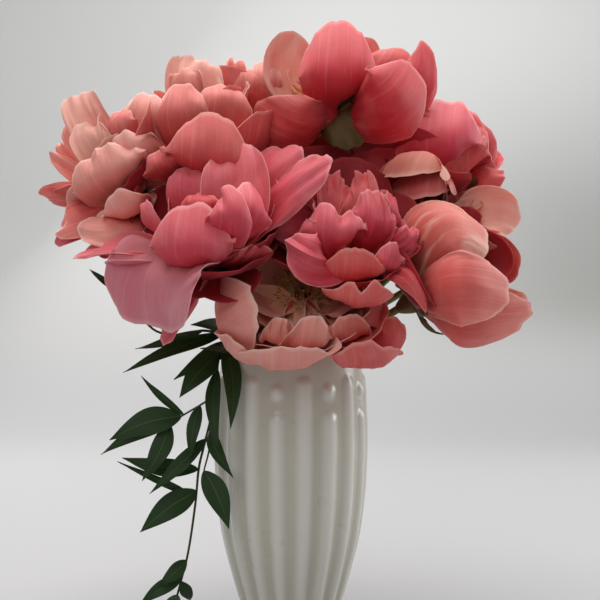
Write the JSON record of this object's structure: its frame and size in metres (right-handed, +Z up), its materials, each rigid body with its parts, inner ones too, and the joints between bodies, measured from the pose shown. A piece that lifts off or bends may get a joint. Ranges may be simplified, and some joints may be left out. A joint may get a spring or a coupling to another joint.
{
  "type": "peony bouquet in a fluted vase",
  "caption": "Loose bouquet of open coral peonies with trailing dark green leaf sprays, standing in a tall fluted vase with a plain band at the mouth.",
  "frame": {"origin": "centre of the vase's flat foot, on the surface it stands on", "axes": "+Z up; -Y towards the front of the bouquet; +X to the right as seen from the front"},
  "size_m": [0.4378, 0.3185, 0.5383],
  "materials": {
    "glaze": "gloss",
    "green_stem": "satin",
    "calyx": "satin",
    "foliage": "satin",
    "stamens": "matte",
    "deep_pink_petal": "matte",
    "coral_petal": "matte",
    "salmon_petal": "matte",
    "peach_petal": "matte"
  },
  "bodies": {
    "root": {"vase": "glaze", "trailing_spray": "foliage", "short_spray": "foliage", "top_bloom_stem": "green_stem", "top_bloom_calyx": "calyx", "top_bloom_outer_petals": "deep_pink_petal", "top_bloom_inner_petals": "deep_pink_petal", "top_bloom_stamens": "stamens", "upper_left_bloom_stem": "green_stem", "upper_left_bloom_calyx": "calyx", "upper_left_bloom_outer_petals": "salmon_petal", "upper_left_bloom_inner_petals": "salmon_petal", "upper_left_bloom_stamens": "stamens", "far_left_bloom_stem": "green_stem", "far_left_bloom_calyx": "calyx", "far_left_bloom_outer_petals": "salmon_petal", "far_left_bloom_inner_petals": "salmon_petal", "far_left_bloom_stamens": "stamens", "centre_left_bloom_stem": "green_stem", "centre_left_bloom_calyx": "calyx", "centre_left_bloom_outer_petals": "deep_pink_petal", "centre_left_bloom_inner_petals": "deep_pink_petal", "centre_left_bloom_stamens": "stamens", "centre_bloom_stem": "green_stem", "centre_bloom_calyx": "calyx", "centre_bloom_outer_petals": "coral_petal", "centre_bloom_inner_petals": "coral_petal", "centre_bloom_stamens": "stamens", "front_bloom_stem": "green_stem", "front_bloom_calyx": "calyx", "front_bloom_outer_petals": "peach_petal", "front_bloom_inner_petals": "peach_petal", "front_bloom_stamens": "stamens", "right_upper_bloom_stem": "green_stem", "right_upper_bloom_calyx": "calyx", "right_upper_bloom_outer_petals": "deep_pink_petal", "right_upper_bloom_inner_petals": "deep_pink_petal", "right_upper_bloom_stamens": "stamens", "right_lower_bloom_stem": "green_stem", "right_lower_bloom_calyx": "calyx", "right_lower_bloom_outer_petals": "salmon_petal", "right_lower_bloom_inner_petals": "salmon_petal", "right_lower_bloom_stamens": "stamens", "right_middle_bloom_stem": "green_stem", "right_middle_bloom_calyx": "calyx", "right_middle_bloom_outer_petals": "peach_petal", "right_middle_bloom_inner_petals": "peach_petal", "right_middle_bloom_stamens": "stamens", "back_upper_bloom_stem": "green_stem", "back_upper_bloom_calyx": "calyx", "back_upper_bloom_outer_petals": "coral_petal", "back_upper_bloom_inner_petals": "coral_petal", "back_upper_bloom_stamens": "stamens", "back_lower_bloom_stem": "green_stem", "back_lower_bloom_calyx": "calyx", "back_lower_bloom_outer_petals": "coral_petal", "back_lower_bloom_inner_petals": "coral_petal", "back_lower_bloom_stamens": "stamens"}
  },
  "joints": []
}
